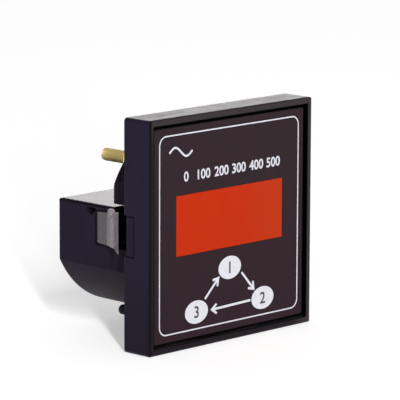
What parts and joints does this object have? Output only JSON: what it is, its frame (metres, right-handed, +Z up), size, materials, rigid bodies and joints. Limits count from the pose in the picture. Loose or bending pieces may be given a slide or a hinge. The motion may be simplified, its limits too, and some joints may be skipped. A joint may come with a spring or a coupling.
{
  "type": "digital panel meter",
  "caption": "Square-fronted digital panel meter with a red window, a round moulded barrel, spring side clips and rear terminal studs.",
  "frame": {"origin": "centre of the seat: the plane where the frame meets the front of the panel, on the barrel's axis", "axes": "+X to the right as seen from the front, +Y to the rear through the panel, +Z up"},
  "size_m": [0.072, 0.0491, 0.072],
  "materials": {
    "bezel_plastic": "smooth black ABS with a satin sheen",
    "facia_plastic": "fine matt black ABS",
    "label_film": "satin black printed film",
    "white_ink": "white screen ink on the film",
    "dark_ink": "dark screen ink over the white",
    "red_acrylic": "smooth red acrylic",
    "component_plastic": "moulded epoxy, matt black",
    "circuit_board": "green solder mask on glass epoxy",
    "plated_steel": "zinc plated",
    "nylon": "natural nylon",
    "capacitor_sleeve": "dark blue shrink sleeve",
    "varistor_coating": "dipped blue coating",
    "resistor_body": "tan lacquer",
    "trimmer_body": "blue moulded body",
    "lamination_steel": "varnished laminations",
    "enamelled_wire": "copper wire under enamel",
    "housing_plastic": "smooth black ABS with a satin sheen",
    "clip_plastic": "glossy black acetal",
    "brass": "turned brass, slightly dull"
  },
  "bodies": {
    "meter": {"bezel_frame": "bezel_plastic", "facia_plate": "facia_plastic", "facia_label": "label_film", "window_filter": "red_acrylic", "display_module": "component_plastic", "display_board": "circuit_board", "controller_chip": "component_plastic", "crystal": "plated_steel", "board_header": "component_plastic", "board_spacers": "nylon", "board_screws": "plated_steel", "main_board": "circuit_board", "bridge_rectifier": "component_plastic", "reservoir_capacitors": "capacitor_sleeve", "voltage_regulator": "component_plastic", "varistor": "varistor_coating", "input_resistors": "resistor_body", "trim_potentiometer": "trimmer_body", "transformer_core": "lamination_steel", "transformer_bobbin": "nylon", "transformer_windings": "enamelled_wire", "rear_housing": "housing_plastic", "terminal_stud_left": "brass", "terminal_stud_right": "brass", "solder_tags": "brass", "terminal_washers": "brass", "terminal_locknuts": "brass", "spring_washers": "plated_steel", "terminal_nuts": "brass"},
    "left_clip": {"clip_left": "clip_plastic"},
    "right_clip": {"clip_right": "clip_plastic"}
  },
  "joints": [
    {"name": "left_clip_hinge", "type": "hinge", "parent": "meter", "child": "left_clip", "pos_m": [-0.0238, 0.0239, -0.0016], "axis": [0, 0, 1], "range_deg": [0, 16], "stiffness_Nm_per_rad": 0.002},
    {"name": "right_clip_hinge", "type": "hinge", "parent": "meter", "child": "right_clip", "pos_m": [0.0238, 0.0239, -0.0016], "axis": [0, 0, 1], "range_deg": [-16, 0], "stiffness_Nm_per_rad": 0.002}
  ]
}
